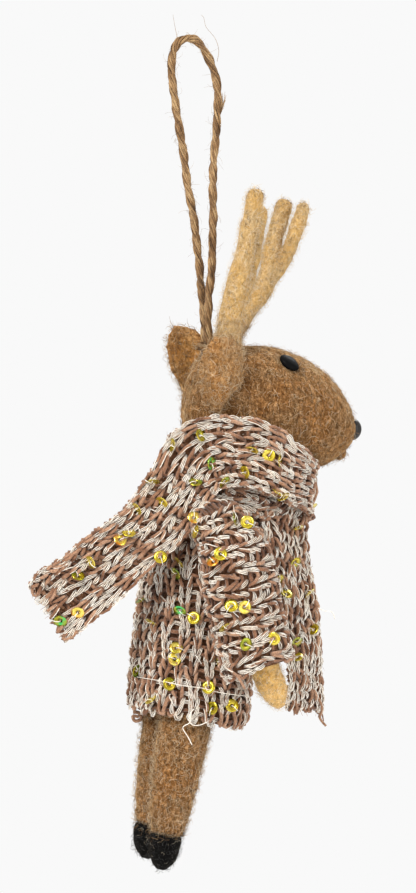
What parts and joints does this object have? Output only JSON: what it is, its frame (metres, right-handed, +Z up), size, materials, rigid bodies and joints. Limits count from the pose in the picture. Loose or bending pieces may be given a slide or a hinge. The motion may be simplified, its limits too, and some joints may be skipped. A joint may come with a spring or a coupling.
{
  "type": "hanging reindeer ornament",
  "caption": "Felted wool reindeer figure in a knitted sweater and scarf, hanging upright from a loop of jute twine at its crown.",
  "frame": {"origin": "where a hook bears, on the inside of the twine loop's bend", "axes": "+Z up, the figure faces -Y, its left side is at +X"},
  "size_m": [0.0538, 0.0821, 0.1892],
  "materials": {
    "jute_twine": "two-ply jute twine",
    "brown_felt": "needle-felted wool",
    "ear_felt": "needle-felted wool",
    "cream_felt": "needle-felted wool",
    "black_felt": "needle-felted wool",
    "black_bead": "glossy bead",
    "metallic_knit": "rose-brown and silver knit with gold sequins"
  },
  "bodies": {
    "loop": {"twine_loop": "jute_twine"},
    "figure": {"twine_knot": "jute_twine", "head": "brown_felt", "nose_bead": "black_bead", "mouth": "brown_felt", "torso": "brown_felt", "sweater_body": "metallic_knit", "scarf": "metallic_knit", "antler_left": "cream_felt", "antler_right": "cream_felt", "eye_left": "black_bead", "eye_right": "black_bead", "ear_left": "ear_felt", "ear_right": "ear_felt"},
    "arm_left": {"arm_left": "cream_felt", "sleeve_left": "metallic_knit"},
    "arm_right": {"arm_right": "cream_felt", "sleeve_right": "metallic_knit"},
    "leg_left": {"leg_left": "brown_felt", "hoof_left": "black_felt"},
    "leg_right": {"leg_right": "brown_felt", "hoof_right": "black_felt"}
  },
  "joints": [
    {"name": "loop_swing", "type": "hinge", "parent": "loop", "child": "figure", "pos_m": [0, -0.00409, -0.06926], "axis": [1, 0, 0], "range_deg": [-25, 25]},
    {"name": "shoulder_left", "type": "hinge", "parent": "figure", "child": "arm_left", "pos_m": [0.0209, -0.0008, -0.10919], "axis": [-1, 0, 0], "range_deg": [-20, 45]},
    {"name": "shoulder_right", "type": "hinge", "parent": "figure", "child": "arm_right", "pos_m": [-0.0209, -0.0008, -0.10919], "axis": [-1, 0, 0], "range_deg": [-20, 45]},
    {"name": "hip_left", "type": "hinge", "parent": "figure", "child": "leg_left", "pos_m": [0.0055, 0.00258, -0.15052], "axis": [-1, 0, 0], "range_deg": [-10, 17]},
    {"name": "hip_right", "type": "hinge", "parent": "figure", "child": "leg_right", "pos_m": [-0.0055, 0.00258, -0.15052], "axis": [-1, 0, 0], "range_deg": [-10, 17]}
  ]
}
